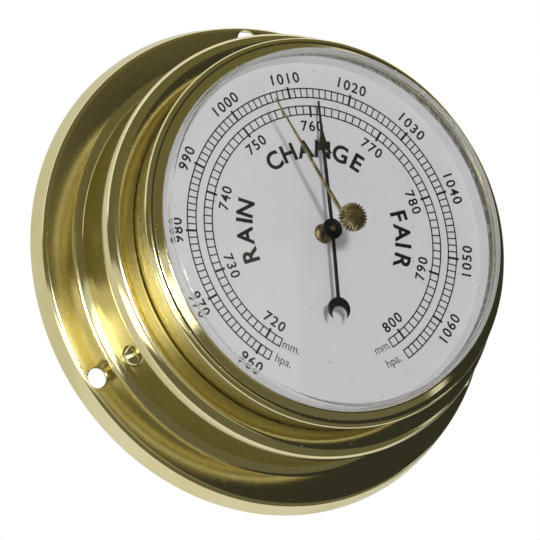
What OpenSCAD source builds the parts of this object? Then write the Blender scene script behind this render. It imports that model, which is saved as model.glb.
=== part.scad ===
// Wall barometer of the ship's bulkhead kind: a flanged wall ring, a round instrument that
// twists into it on three pins, a dial under a raised crystal, and an aneroid movement.
// Every piece is drawn with the wall at height 0 and height growing towards the reader.

/* [Wall ring] */
// Width of the ring at the wall, outside its upright wall
rim_w = 11.5; // [10.6:0.1:14]
// Height of the flange's front face above the wall
flange_h = 5.5; // [5:0.1:6]
// Thickness of the ring's sheet
ring_t = 0.9; // [0.7:0.05:1]
// How far the skirt leans in between the wall and the flange
rim_lean = 1.5; // [1:0.1:1.8]
// Radius of the corner between skirt and flange
rim_corner = 1.2; // [1.1:0.1:1.6]
// Distance from the case's side to the outside of the ring's upright wall
wall_out = 4.6; // [4.1:0.1:6]
// Radius of the fillet between flange and upright wall
foot_fillet = 2.85; // [2:0.05:3]
// How far the rolled bead stands out from the upright wall
bead_out = 2.3; // [2:0.1:2.8]
// Corner radius at the back of the bead
bead_back_r = 2; // [1.6:0.1:2.3]
// Corner radius at the front of the bead
bead_front_r = 2.6; // [2:0.1:3]
// Straight height of the bead between its two corners
bead_side = 1.9; // [1:0.1:3]
// Height of the ring's front face above the wall
ring_front_h = 26.9; // [26:0.1:27.5]
// Depth of the guide collar round the instrument
collar_d = 4.5; // [3:0.1:6]
// Radius at the collar's front edge
collar_round = 1.2; // [0.6:0.1:1.2]

/* [Wall screws] */
// Distance of the wall screws from the ring's upright wall
screw_out = 7; // [6.5:0.1:7.4]
// Radius of a wall screw's hole
screw_hole_r = 2.5; // [1.8:0.1:2.6]
// Number of wall screws, and of bayonet pins
fix_count = 3;

/* [Bayonet] */
// Height of the bayonet pins above the wall
pin_h = 13.5; // [12.5:0.1:15]
// Radius of a pin's shank
pin_r = 1.5; // [1.2:0.05:1.7]
// Radius of a pin's domed head
pin_head_r = 2.5; // [2.2:0.05:2.8]
// Height of a pin's domed head
pin_head_h = 1.3; // [1:0.05:1.6]
// Play of a pin in its slot
slot_play = 0.1; // [0.05:0.01:0.15]
// Turn that frees the instrument, in degrees
unlock_turn = 12; // [9:0.5:16]
// Gap between the instrument and the ring's guide collar
collar_gap = 0.1; // [0.06:0.01:0.15]

/* [Case] */
// Outer radius of the instrument's case
case_r = 47.4; // [42:0.1:60]
// Wall of the case
case_t = 1; // [0.8:0.05:1.2]
// Height of the case's back above the wall
case_back_h = 3.5; // [3:0.1:4]
// Radius of the case's back corner
case_corner = 3; // [2:0.1:4]
// Radius of the hole over the setting screw
access_r = 2.6; // [2.3:0.1:3]
// Radius of the air holes in the back
vent_r = 1.2; // [0.8:0.1:1.6]

/* [Dial] */
// Height of the dial's face above the wall
dial_h = 33.8; // [33.5:0.1:34.2]
// Thickness of the dial
dial_t = 0.8; // [0.6:0.05:1]
// Play between the case's bore and what sits in it
seat_play = 0.1; // [0.05:0.01:0.15]
// Width of the ring that the dial rests on
seat_w = 2.6; // [2:0.1:3.2]
// Height of the ring that the dial rests on
seat_h = 1.6; // [1.2:0.1:2]
// Width of the spacer ring at the dial
spacer_w = 2.8; // [2:0.1:3.4]
// How far the spacer ring opens towards the crystal
spacer_flare = 0.7; // [0.3:0.1:1]
// Height of the spacer ring
spacer_h = 3; // [2.8:0.05:3.2]

/* [Bezel and crystal] */
// How far the bezel's bead stands out from the case
bezel_out = 2; // [1.6:0.1:2.6]
// Section radius of the bezel's bead
bezel_bead = 1.3; // [1.1:0.05:1.45]
// Height of the bead's centre above the dial
bezel_bead_up = 2.7; // [2.5:0.05:2.9]
// Gap between the bezel's lip and the crystal's side
lip_gap = 0.3; // [0.1:0.05:0.6]
// Height of the bezel's lip above the dial
lip_up = 5.2; // [5.1:0.05:5.4]
// Thickness of the crystal
crystal_t = 1.8; // [1.5:0.05:2]
// How far the crystal's upright side lies inside the case's outer radius
crystal_set = 2.1; // [1.9:0.05:2.6]
// Radius of the crystal's outer shoulder
shoulder_round = 0.6; // [0.5:0.1:1.8]
// Radius of the corner inside the crystal's shoulder
shoulder_in = 0.3; // [0.3:0.1:1]
// Thickness of the crystal's upright side
crystal_wall = 1.1; // [1:0.05:1.8]
// Height of the crystal's shoulder above the dial
shoulder_up = 8.7; // [8.3:0.1:9.2]
// Rise of the dome between the shoulder and the middle
dome_rise = 5.7; // [5.4:0.1:6.5]
// Thickness of the crystal's foot
crystal_foot = 1.1; // [0.9:0.05:1.2]
// Thickness of the gasket under the crystal
gasket_t = 0.5; // [0.3:0.05:0.6]

/* [Pressure hand] */
// Height of the hand's hub above the dial
hub_up = 4.3; // [4:0.1:4.6]
// Thickness of the hand
hand_t = 0.45; // [0.3:0.05:0.6]
// Radius of the hand's hub
hub_r = 2.6; // [2.3:0.1:3]
// Length of the hand from its axis to its tip
hand_l = 33; // [30:0.1:33.5]
// Width of the hand's rod
rod_w = 1; // [0.7:0.05:1.3]
// Distance from the axis to the arrow's barbs
barb_at = 19.4; // [17:0.1:21]
// Length of the arrowhead
arrow_l = 7.2; // [6:0.1:8.5]
// Width of the arrowhead over its barbs
arrow_w = 3.6; // [3:0.1:4.2]
// Width of the hand's needle at its tip
needle_w = 0.4; // [0.3:0.05:0.6]
// Distance from the axis to the tail's crescent
tail_at = 20.1; // [18:0.1:22]
// Outer radius of the tail's crescent
crescent_r = 2.95; // [2.5:0.05:3.4]
// How far the hand's tip lies below its hub
hand_droop = 1.8; // [1.5:0.1:2.2]
// Where the hand stands at rest, in degrees right of the top
hand_angle = 1.8; // [-5:0.1:5]
// Radius of the bush in the middle of the dial
bush_r = 2.35; // [2:0.05:2.6]

/* [Set hand] */
// Radius of the set knob over its teeth
knob_r = 3.5; // [3.2:0.05:3.9]
// Height of the set knob
knob_h = 2.1; // [1.7:0.1:2.6]
// Number of teeth round the set knob
knob_teeth = 24; // [18:1:28]
// Radius of the set hand's arbor
set_arbor_r = 0.75; // [0.6:0.05:0.85]
// Wall of the bush in the crystal
set_bush_t = 0.8; // [0.6:0.05:1]
// Length of the set hand from its axis to its tip
set_l = 34.5; // [31:0.5:36]
// Width of the set hand at its hub
set_w = 1.2; // [1:0.05:1.5]
// Width of the set hand at its tip
set_tip_w = 0.4; // [0.3:0.05:0.6]
// Thickness of the set hand
set_t = 0.55; // [0.4:0.05:0.65]
// How much lower the set hand's tip hangs than the dome asks
set_clear = 0.1; // [0.05:0.05:0.6]
// Where the set hand is left, in degrees left of the top
set_angle = 23.7; // [0:0.1:90]

/* [Movement] */
// Radius of the movement's plates
plate_r = 33; // [32:0.5:36]
// Thickness of the movement's base plate
base_t = 1.6; // [1.3:0.1:1.9]
// Thickness of the bridge and of the top plate
bridge_t = 1.4; // [1.2:0.1:1.5]
// Height of the feet between the case's back and the base plate
foot_h = 2; // [1.6:0.1:2.2]
// Height of the bridge's underside above the base plate
bridge_up = 14.9; // [14.5:0.1:15.1]
// Gap between the bridge and the top plate
gear_gap = 5; // [4.8:0.1:5.2]
// Distance of the pillars from the middle
pillar_at = 28; // [27:0.1:29]
// Radius of a pillar
pillar_r = 2.4; // [2:0.1:2.8]
// Radius of the plate screws
plate_screw_r = 1.2; // [1:0.05:1.4]
// Running play of a pivot in its hole, on the radius
pivot_play = 0.04; // [0.02:0.01:0.06]
// Radius of the pivots
pivot_r = 0.6; // [0.5:0.05:0.7]

/* [Capsule] */
// Radius of the aneroid capsule
capsule_r = 21; // [19:0.5:22]
// Depth of one corrugated shell
shell_d = 3; // [2.7:0.1:3.1]
// Thickness of the shell's sheet
shell_t = 0.4; // [0.3:0.05:0.5]
// Number of corrugations in a shell
waves = 4; // [3:1:5]
// Height of a corrugation
wave_h = 0.9; // [0.6:0.1:1.1]
// Radius of the stud in the middle of the capsule
stud_r = 3.9; // [3.4:0.1:4.4]
// Radius of the stud's post
post_r = 0.8; // [0.6:0.05:0.85]
// Thickness of the leaf that carries the capsule
leaf_t = 1.2; // [1:0.05:1.3]
// Gap under the leaf
leaf_gap = 0.9; // [0.7:0.05:1]

/* [Gearing] */
// Tooth module
tooth_m = 0.4; // [0.38:0.01:0.4]
// Teeth on the hand's pinion
pinion_teeth = 12; // [12:1:12]
// Turns of the pinion for one turn of the sector
gear_ratio = 7.2; // [7:0.1:7.2]
// Swing of the sector to each side, in degrees
sector_swing = 21; // [18:0.5:21]
// Thickness of the sector
sector_t = 1.2; // [1:0.05:1.5]
// Distance from the sector's axis to its drive slot
tail_arm = 4; // [3.8:0.1:4.2]
// Arm of the rocking shaft at the capsule's stud
stud_arm = 1.8; // [1.6:0.05:2]
// Radius of the rocking shaft
rocker_r = 0.9; // [0.8:0.05:1]
// Space between the crank's two cheeks
crank_w = 2.2; // [2:0.1:2.6]
// Radius of the pin between the cheeks
crank_pin_r = 0.54; // [0.4:0.02:0.6]
// Radius of the finger that drives the sector
finger_r = 0.6; // [0.5:0.05:0.7]
// Play of the finger in the sector's slot
finger_play = 0.2; // [0.15:0.01:0.25]
// Turns of the hairspring
hair_turns = 4; // [3:1:5]

/* [Setting screw] */
// Radius of the setting screw
adjust_r = 1.6; // [1.3:0.1:1.8]
// Distance of the setting screw from the middle
adjust_at = 22; // [21:0.5:22.5]

/* [Hidden] */
$fn = 96;
eps = 0.01;
brass = "#c9b45e";
dark_brass = "#9a8540";
nickel = "#b9bcc0";
steel = "#8f9296";

// radii and heights of the ring
wall_r = case_r + wall_out;
rim_r = wall_r + rim_w;
screw_circle_r = wall_r + screw_out;
bead_r = wall_r + bead_out;
bead_front_c = ring_front_h - bead_front_r;
bead_back_c = bead_front_c - bead_side;
collar_r = case_r + collar_gap;
// heights and radii of the case and what it holds
case_in = case_r - case_t;
seat_r = case_in - seat_play;
spacer_r = seat_r - spacer_w;
bezel_r = case_r + bezel_out;
crystal_r = case_r - crystal_set;
lip_r = crystal_r + lip_gap;
dial_back = dial_h - dial_t;
spacer_top = dial_h + spacer_h;
case_front = spacer_top;
foot_base = spacer_top + gasket_t;
foot_top = foot_base + crystal_foot;
lip_top = dial_h + lip_up;
bead_c = dial_h + bezel_bead_up;
shoulder_h = dial_h + shoulder_up;
dome_edge = crystal_r - shoulder_round * 0.75;
dome_top = shoulder_h + dome_rise;
dome_r = (dome_edge * dome_edge + dome_rise * dome_rise) / (2 * dome_rise);
dome_c = dome_top - dome_r;
crystal_in = dome_top - crystal_t;
dome_in_r = dome_r - crystal_t;
set_droop = dome_in_r - sqrt(dome_in_r * dome_in_r - set_l * set_l) + set_clear;
crystal_gap = 0.03;
knob_gap = 0.08;
washer_t = 0.25;
brim_t = 0.25;
bush_brim = 0.6;
// heights of the movement
back_in = case_back_h + case_t;
base_bot = back_in + foot_h;
base_top = base_bot + base_t;
bridge_bot = base_top + bridge_up;
bridge_top = bridge_bot + bridge_t;
top_bot = bridge_top + gear_gap;
top_top = top_bot + bridge_t;
leaf_bot = base_top + leaf_gap;
leaf_top = leaf_bot + leaf_t;
capsule_foot = leaf_top + 1;
capsule_mid = capsule_foot + shell_d;
capsule_top = capsule_mid + shell_d;
// gearing
pinion_pr = tooth_m * pinion_teeth / 2;
sector_pr = pinion_pr * gear_ratio;
centre_d = pinion_pr + sector_pr;
sector_teeth = 2 * ceil((sector_swing + 5) / (360 / (pinion_teeth * gear_ratio))) - 1;
sector_bot = bridge_top + 0.9;
sector_top = sector_bot + sector_t;
finger_h = (sector_bot + sector_top) / 2;
rocker_swing = 0.6 * sector_swing;
rocker_arm = tail_arm * tan(sector_swing) / tan(rocker_swing);
rocker_h = finger_h - rocker_arm;
stud_top = rocker_h - crank_pin_r - 0.08;
drive_x = centre_d + tail_arm;
capsule_y = stud_arm;
rocker_low_x = -6;
pillar_angles = [60, 180, 300];
foot_angles = [0, 120, 240];
foot_at = pillar_at;
leaf_w = 11;
leaf_l = capsule_r + 7;
leaf_screw_r = 0.9;
foot_pin_r = 1.4;
stud_gap = 0.06;
hub_top = dial_h + hub_up + hand_t;
set_bush_r = set_arbor_r + set_bush_t;
set_top = crystal_in - 0.1 - crystal_gap - washer_t;
bracket_t = 1.6;
bracket_w = 3.6;
bracket_2_x = centre_d - 5;
sector_shaft_r = 1.1;
sector_hub_r = 3.6;
sector_rim = 2;
spoke_angle = 8;
pressure_angle = 20;
bridge_arm = 10;
top_arm = 8;
vent_angle = 30;
tooth_gap = 0.06;
hair_collet_r = 1.4;
hair_bot = sector_top + 1.5;
hair_h = 0.6;
hair_w = 0.22;
hair_stud_r = 0.7;
hair_in = hair_collet_r + 0.35;
hair_out = 6;

module upright(count, at, first = 0) {
    for (k = [0 : count - 1])
        rotate([0, 0, first + 360 * k / count]) translate([at, 0, 0]) children();
}

module at_angles(angles, at) {
    for (a = angles) rotate([0, 0, a]) translate([at, 0, 0]) children();
}

// a ring between two radii and two heights
module band(r_in, r_out, low, high) {
    translate([r_in, low]) square([r_out - r_in, high - low]);
}

module tube(r_in, r_out, low, high) {
    translate([0, 0, low]) difference() {
        cylinder(r = r_out, h = high - low);
        translate([0, 0, -eps]) cylinder(r = r_in, h = high - low + 2 * eps);
    }
}

module rod(r, low, high) {
    translate([0, 0, low]) cylinder(r = r, h = high - low);
}

function arc(centre, r, from, to, steps = 10) =
    [for (k = [0 : steps]) let (a = from + (to - from) * k / steps) centre + r * [cos(a), sin(a)]];
function reverse(points) = [for (k = [len(points) - 1 : -1 : 0]) points[k]];

// the ring's skin from the wall up to its front face, drawn in by the amount given
function ring_skin(inset) = let (
        lean = atan(rim_lean / flange_h),
        corner_h = flange_h - rim_corner,
        corner_r = rim_r - (rim_corner + corner_h * sin(lean)) / cos(lean),
        bead_foot = bead_back_c - bead_back_r + inset)
    concat([[rim_r - inset / cos(lean), 0]],
        arc([corner_r, corner_h], rim_corner - inset, lean, 90),
        arc([wall_r + foot_fillet, flange_h + foot_fillet], foot_fillet + inset, 270, 180),
        [[wall_r - inset, bead_foot]],
        arc([bead_r - bead_back_r, bead_back_c], bead_back_r - inset, 270, 360),
        arc([bead_r - bead_front_r, bead_front_c], bead_front_r - inset, 0, 90));

module ring_profile() {
    collar_out = collar_r + ring_t;
    edge = [collar_r + collar_round, ring_front_h - collar_round];
    polygon(concat(ring_skin(0), arc(edge, collar_round, 90, 180),
        [[collar_r, ring_front_h - collar_d], [collar_out, ring_front_h - collar_d],
            [collar_out, ring_front_h - ring_t]],
        reverse(ring_skin(ring_t))));
}

module wall_ring() color(brass) placed() difference() {
    rotate_extrude() ring_profile();
    upright(fix_count, screw_circle_r, 90)
        translate([0, 0, flange_h - ring_t - 1]) cylinder(r = screw_hole_r, h = ring_t + 2);
    upright(fix_count, wall_r, 90) translate([-ring_t - 1, 0, pin_h])
        rotate([0, 90, 0]) cylinder(r = pin_r, h = ring_t + 2);
}

// domed head outside, shank through the wall, and a collar that grips it inside
module pin_head() {
    dome = (pin_head_r * pin_head_r + pin_head_h * pin_head_h) / (2 * pin_head_h);
    intersection() {
        translate([0, 0, pin_head_h - dome]) sphere(r = dome);
        translate([0, 0, -0.3]) cylinder(r = pin_head_r, h = pin_head_h + 1);
    }
}

module pin_shank() {
    collar_h = 0.9;
    inner = wall_r - ring_t;
    grip = inner - sqrt(inner * inner - pin_head_r * pin_head_r);
    translate([0, 0, case_in - 0.2 - wall_r]) cylinder(r = pin_r, h = wall_r - case_in + 0.2 + eps);
    translate([0, 0, -ring_t - grip - collar_h]) cylinder(r = pin_head_r, h = collar_h);
}

module at_pins() {
    upright(fix_count, wall_r, 90) translate([0, 0, pin_h]) rotate([0, 90, 0]) children();
}

module bayonet_pins() color(brass) placed() {
    difference() {
        at_pins() pin_head();
        cylinder(r = wall_r, h = ring_front_h);
    }
    at_pins() pin_shank();
}

// bayonet slot: in from the case's back edge, then round to where the pin locks
module slot_cut() {
    half = pin_r + slot_play;
    inner = case_r - case_t - 0.6;
    outer = case_r + 1;
    intersection() {
        tube(inner, outer, pin_h - half, pin_h + half);
        translate([0, 0, pin_h - half]) linear_extrude(2 * half)
            polygon([[0, 0], [outer + 1, 0], [outer + 1, -(outer + 1) * tan(unlock_turn)]]);
    }
    for (a = [0, -unlock_turn]) rotate([0, 0, a]) translate([inner, 0, pin_h])
        rotate([0, 90, 0]) cylinder(r = half, h = outer - inner);
    rotate([0, 0, -unlock_turn]) translate([inner, -half, case_back_h - 1])
        cube([outer - inner, 2 * half, pin_h - case_back_h + 1]);
}

module case_body(inset) {
    back = case_back_h + inset;
    band(0, case_r - case_corner, back, case_front + inset);
    band(0, case_r - inset, case_back_h + case_corner, case_front + inset);
    translate([case_r - case_corner, case_back_h + case_corner]) circle(r = case_corner - inset);
}

module case() color(brass) placed() difference() {
    rotate_extrude() difference() {
        case_body(0);
        case_body(case_t);
        band(0, case_r + 1, case_front, case_front + case_t + 1);
    }
    upright(fix_count, 0, 90) slot_cut();
    at_angles(foot_angles, foot_at) rod(plate_screw_r + 0.15, case_back_h - 1, back_in + 1);
    translate([-adjust_at, capsule_y, 0]) rod(access_r, case_back_h - 1, back_in + 1);
    upright(3, capsule_r, vent_angle) rod(vent_r, case_back_h - 1, back_in + 1);
}

module movement_feet() color(dark_brass) placed() at_angles(foot_angles, foot_at)
    tube(plate_screw_r + 0.15, pillar_r + 0.8, back_in, base_bot);

// slotted screw with its head at the given height, pointing up
module screw(r, head_r, head_t, low, high) {
    difference() {
        rod(head_r, low - head_t, low);
        translate([-head_r - 1, -head_r * 0.14, low - head_t - 1])
            cube([2 * head_r + 2, head_r * 0.28, 1.4]);
    }
    rod(r, low - eps, high);
}

module movement_screws() color(steel) placed() at_angles(foot_angles, foot_at)
    screw(plate_screw_r, plate_screw_r * 1.9, 1.1, case_back_h, base_top - 0.2);

module base_plate() color(dark_brass) placed() difference() {
    rod(plate_r, base_bot, base_top);
    at_angles(foot_angles, foot_at) rod(plate_screw_r, base_bot - 1, base_top + 1);
    at_angles(pillar_angles, pillar_at) rod(pillar_r * 0.6, base_bot - 1, base_top + 1);
    translate([-adjust_at, capsule_y, 0]) rod(adjust_r + pivot_play, base_bot - 1, base_top + 1);
    at_leaf_screws() rod(leaf_screw_r, base_bot - 1, base_top + 1);
}

module at_leaf_screws() {
    for (s = [-1, 1]) translate([capsule_r + 4, capsule_y + s * leaf_w * 0.28, 0]) children();
}

module pillars() color(dark_brass) placed() at_angles(pillar_angles, pillar_at) difference() {
    union() {
        rod(pillar_r, base_top, bridge_bot);
        rod(pillar_r * 0.6, base_bot, base_top + eps);
    }
    rod(plate_screw_r, bridge_bot - 6, bridge_bot + 1);
}

// three armed plate with a round end over each pillar
module plate_outline(mid_r, arm_w) {
    circle(r = mid_r);
    for (a = pillar_angles) rotate([0, 0, a]) {
        translate([0, -arm_w / 2]) square([pillar_at, arm_w]);
        translate([pillar_at, 0]) circle(r = pillar_r + 1.6);
    }
    translate([0, -arm_w / 2]) square([drive_x + 4, arm_w]);
    translate([drive_x + 4, 0]) circle(r = arm_w / 2);
}

module bridge() color(dark_brass) placed() difference() {
    translate([0, 0, bridge_bot]) linear_extrude(bridge_t) plate_outline(bridge_arm + 1, bridge_arm);
    at_angles(pillar_angles, pillar_at) rod(plate_screw_r + 0.1, bridge_bot - 1, bridge_top + 1);
    rod(pivot_r + pivot_play, bridge_bot - 1, bridge_top + 1);
    translate([centre_d, 0, 0]) rod(pivot_r + pivot_play, bridge_bot - 1, bridge_top + 1);
    drive_window();
    at_brackets() translate([0, 0, bridge_bot - 1]) bracket_tenon(0.02, bridge_t + 2);
}

// opening that the rocking shaft's finger swings in
module drive_window() {
    reach = tail_arm * tan(sector_swing) + finger_r + 0.8;
    translate([drive_x - finger_r - 0.6, -reach, bridge_bot - 1])
        cube([2 * finger_r + 1.2, 2 * reach, bridge_t + 2]);
}

module top_plate() color(dark_brass) placed() difference() {
    translate([0, 0, top_bot]) linear_extrude(bridge_t) plate_outline(top_arm + 1, top_arm);
    at_angles(pillar_angles, pillar_at) rod(plate_screw_r + 0.1, top_bot - 1, top_top + 1);
    rod(bush_r - 0.5, top_bot - 1, top_top + 1);
    translate([centre_d, 0, 0]) rod(pivot_r + pivot_play, top_bot - 1, top_top + 1);
    at_hair_stud() rod(hair_stud_r, top_bot - 1, top_top + 1);
}

module plate_spacers() color(dark_brass) placed() at_angles(pillar_angles, pillar_at)
    tube(plate_screw_r + 0.1, pillar_r, bridge_top, top_bot);

module plate_screws() color(steel) placed() at_angles(pillar_angles, pillar_at)
    translate([0, 0, top_top]) rotate([180, 0, 0])
        screw(plate_screw_r, plate_screw_r * 1.8, 0.9, 0, top_top - bridge_bot + 5);

module leaf_outline() {
    translate([-adjust_at, capsule_y]) circle(r = leaf_w / 2 - 2.5);
    translate([-adjust_at, capsule_y - leaf_w / 2 + 2.5]) square([adjust_at, leaf_w - 5]);
    translate([0, capsule_y]) circle(r = leaf_w / 2 + 0.6);
    translate([0, capsule_y - leaf_w / 2]) square([leaf_l, leaf_w]);
}

module leaf_block() color(dark_brass) placed() difference() {
    translate([capsule_r + 1, capsule_y - leaf_w / 2, base_top]) cube([6, leaf_w, leaf_gap]);
    at_leaf_screws() rod(leaf_screw_r + 0.1, base_top - 1, leaf_bot + 1);
}

module leaf_screws() color(steel) placed() at_leaf_screws()
    translate([0, 0, leaf_top]) rotate([180, 0, 0])
        screw(leaf_screw_r, leaf_screw_r * 1.8, 0.8, 0, leaf_top - base_bot - 0.2);

module capsule_leaf() color(steel) placed() difference() {
    translate([0, 0, leaf_bot]) linear_extrude(leaf_t) leaf_outline();
    at_leaf_screws() rod(leaf_screw_r + 0.1, leaf_bot - 1, leaf_top + 1);
    translate([0, capsule_y, 0]) rod(foot_pin_r, leaf_bot - 1, leaf_top + 1);
}

// one corrugated shell: its rim lies at the given height and its middle a shell's depth above
function wave_z(r) = shell_d - shell_t
    - (r - stud_r) / (capsule_r - 2 - stud_r) * (shell_d - shell_t - wave_h)
    - wave_h * (1 - cos(360 * waves * (r - stud_r) / (capsule_r - 2 - stud_r))) / 2;
module shell_profile(hole) {
    steps = waves * 10;
    span = capsule_r - 2 - hole;
    line = [for (k = [0 : steps]) let (r = hole + span * k / steps) [r, wave_z(max(r, stud_r))]];
    back = [for (k = [steps : -1 : 0]) line[k] + [0, shell_t]];
    polygon(concat(line, [[capsule_r - 1.6, 0], [capsule_r, 0], [capsule_r, shell_t],
        [capsule_r - 1.6 + shell_t * 0.3, shell_t]], back));
}

module capsule_lower() color(nickel) placed() translate([0, capsule_y, capsule_mid]) {
    mirror([0, 0, 1]) rotate_extrude() shell_profile(0);
    translate([0, 0, -shell_d - 1]) cylinder(r = stud_r, h = 1 + eps);
    translate([0, 0, -shell_d - 1 - leaf_t]) cylinder(r = foot_pin_r, h = leaf_t + eps);
}

module capsule_upper() color(nickel) placed() translate([0, capsule_y, capsule_mid])
    rotate_extrude() shell_profile(stud_r + stud_gap);

module capsule_stud() color(nickel) placed() translate([0, capsule_y, 0]) {
    rod(stud_r, capsule_top - shell_t - 0.5, capsule_top + 0.15);
    rod(post_r, capsule_top, stud_top);
}

module setting_screw() color(steel) placed() translate([-adjust_at, capsule_y, 0]) difference() {
    union() {
        rod(adjust_r, back_in - 0.4, leaf_bot - 0.6);
        translate([0, 0, leaf_bot - 0.6]) cylinder(r1 = adjust_r, r2 = adjust_r * 0.5, h = 0.58);
    }
    translate([-adjust_r - 1, -0.25, back_in - 1.4]) cube([2 * adjust_r + 2, 0.5, 1.9]);
}

module at_brackets() {
    for (x = [rocker_low_x, bracket_2_x]) translate([x, 0, 0]) children();
}

module bracket_tenon(play, high) {
    translate([-bracket_t / 2 - play, -bracket_w / 4 - play, 0])
        cube([bracket_t + 2 * play, bracket_w / 2 + 2 * play, high]);
}

module rocker_brackets() color(dark_brass) placed() at_brackets() difference() {
    union() {
        translate([-bracket_t / 2, -bracket_w / 2, rocker_h])
            cube([bracket_t, bracket_w, bridge_bot - rocker_h]);
        translate([-bracket_t / 2, 0, rocker_h]) rotate([0, 90, 0]) cylinder(d = bracket_w, h = bracket_t);
        translate([0, 0, bridge_bot - eps]) bracket_tenon(0, bridge_t + eps);
    }
    translate([-bracket_t, 0, rocker_h]) rotate([0, 90, 0])
        cylinder(r = rocker_r + pivot_play, h = 2 * bracket_t);
}

// shaft, crank over the capsule's stud, and upright arm with the finger that drives the sector
module rocking_shaft() color(steel) placed() {
    low = rocker_low_x - 3;
    cheek = 0.8;
    translate([low, 0, rocker_h]) rotate([0, 90, 0]) cylinder(r = rocker_r, h = drive_x + 1 - low);
    for (x = [rocker_low_x - bracket_t, rocker_low_x + bracket_t])
        translate([x - 0.5, 0, rocker_h]) rotate([0, 90, 0]) cylinder(r = rocker_r + 0.6, h = 1);
    for (x = [-crank_w / 2 - cheek, crank_w / 2])
        translate([x, 0, rocker_h - crank_pin_r]) cube([cheek, stud_arm, 2 * crank_pin_r]);
    translate([-crank_w / 2 - cheek, stud_arm, rocker_h]) rotate([0, 90, 0])
        cylinder(r = crank_pin_r, h = crank_w + 2 * cheek);
    translate([drive_x, 0, rocker_h]) cylinder(r = finger_r, h = sector_top + 0.5 - rocker_h);
    translate([drive_x - 1, 0, rocker_h]) rotate([0, 90, 0]) cylinder(r = rocker_r + 0.8, h = 2);
}

// involute teeth: half a tooth's angle at a radius, and the outline of a row of teeth
function involute(a) = tan(a) * 180 / PI - a;
function half_tooth(pr, r) = 90 * tooth_m / (2 * pr) - tooth_gap * 90 / (PI * pr)
    + involute(pressure_angle) - involute(acos(min(1, pr * cos(pressure_angle) / r)));
function flank(pr) = [for (k = [0 : 6])
    let (r = pr - 1.15 * tooth_m + 1.95 * tooth_m * k / 6) [r, half_tooth(pr, r)]];
function tooth(pr) = let (side = flank(pr))
    concat([for (p = side) [p[0], -p[1]]], [for (k = [6 : -1 : 0]) side[k]]);
function teeth(pr, count, pitch, middle) = [for (k = [0 : count - 1], p = tooth(pr))
    let (a = middle + pitch * (k - (count - 1) / 2) + p[1]) [p[0] * cos(a), p[0] * sin(a)]];

module pinion_2d() polygon(teeth(pinion_pr, pinion_teeth, 360 / pinion_teeth, 0));

module sector_2d() {
    pitch = 360 / (pinion_teeth * gear_ratio);
    half = sector_teeth / 2 * pitch;
    rim = sector_pr - 1.15 * tooth_m - sector_rim;
    window = [for (k = [-6 : 6]) let (a = 180 + (half - spoke_angle) * k / 6) [rim * cos(a), rim * sin(a)]];
    difference() {
        polygon(concat([[0, 0]], teeth(sector_pr, sector_teeth, pitch, 180)));
        polygon(concat([[0, 0]], window));
    }
    tail_r = finger_r + finger_play + 1.2;
    circle(r = sector_hub_r);
    translate([0, -tail_r]) square([tail_arm, 2 * tail_r]);
    translate([tail_arm, 0]) circle(r = tail_r);
}

module sector_gear() color(dark_brass) placed() translate([centre_d, 0, sector_bot])
    linear_extrude(sector_t) difference() {
        sector_2d();
        circle(r = sector_shaft_r);
        translate([tail_arm, 0]) circle(r = finger_r + finger_play);
        translate([tail_arm, -finger_r - finger_play]) square([3, 2 * (finger_r + finger_play)]);
    }

module sector_arbor() color(steel) placed() translate([centre_d, 0, 0]) {
    rod(pivot_r, bridge_bot, top_top);
    rod(sector_shaft_r, bridge_top + 0.2, top_bot - 0.2);
    rod(2, sector_top, sector_top + 0.9);
}

module hand_arbor() color(steel) placed() {
    rod(pivot_r, bridge_bot, hub_top + 0.25);
    translate([0, 0, sector_bot - 0.3]) linear_extrude(sector_t + 0.6) pinion_2d();
    rod(1.3, sector_top + 0.4, sector_top + 1.6);
    rod(hair_collet_r, hair_bot - 0.2, hair_bot + hair_h + 0.1);
}

module at_hair_stud() {
    translate([-hair_out, 0, 0]) children();
}

function spiral(k, steps, off) = let (r = hair_in + (hair_out - hair_in) * k / steps + off)
    [r * cos(15 * k), r * sin(15 * k)];

// flat spiral strip, wound from the collet out to its stud
module hairspring() color(steel) placed() translate([0, 0, hair_bot]) linear_extrude(hair_h) {
    steps = hair_turns * 24 + 12;
    outer = [for (k = [0 : steps]) spiral(k, steps, hair_w / 2)];
    inner = [for (k = [steps : -1 : 0]) spiral(k, steps, -hair_w / 2)];
    polygon(concat(outer, inner));
}

module hairspring_stud() color(dark_brass) placed() at_hair_stud() difference() {
    rod(hair_stud_r, hair_bot - 0.2, top_top);
    translate([-hair_w / 2 - 0.1, -1, hair_bot - 1]) cube([hair_w + 0.2, 2, hair_h + 1]);
}

// brass bush that carries the hand's arbor through the dial
module centre_bush() color(brass) placed() difference() {
    union() {
        rod(bush_r - 0.5, top_bot, top_top + eps);
        rod(bush_r, top_top, dial_h + 0.1);
        intersection() {
            translate([0, 0, dial_h + 0.1 + 0.7 - 4.5]) sphere(r = 4.5);
            rod(bush_r, dial_h, dial_h + 2);
        }
    }
    rod(pivot_r + pivot_play, top_bot - 1, dial_h + 3);
}

module dial_seat() color(dark_brass) placed()
    tube(case_in - seat_w, case_in, dial_back - seat_h, dial_back);

module dial() color("#dcdcdc") placed() tube(bush_r + 0.15, seat_r, dial_back, dial_h);

module spacer_ring() color("#c4c4c4") placed() rotate_extrude()
    polygon([[spacer_r, dial_h], [seat_r, dial_h], [seat_r, spacer_top],
        [spacer_r + spacer_flare, spacer_top]]);

module gasket() color("#333333") placed()
    tube(spacer_r + spacer_flare + 0.1, seat_r, spacer_top, foot_base);

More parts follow.
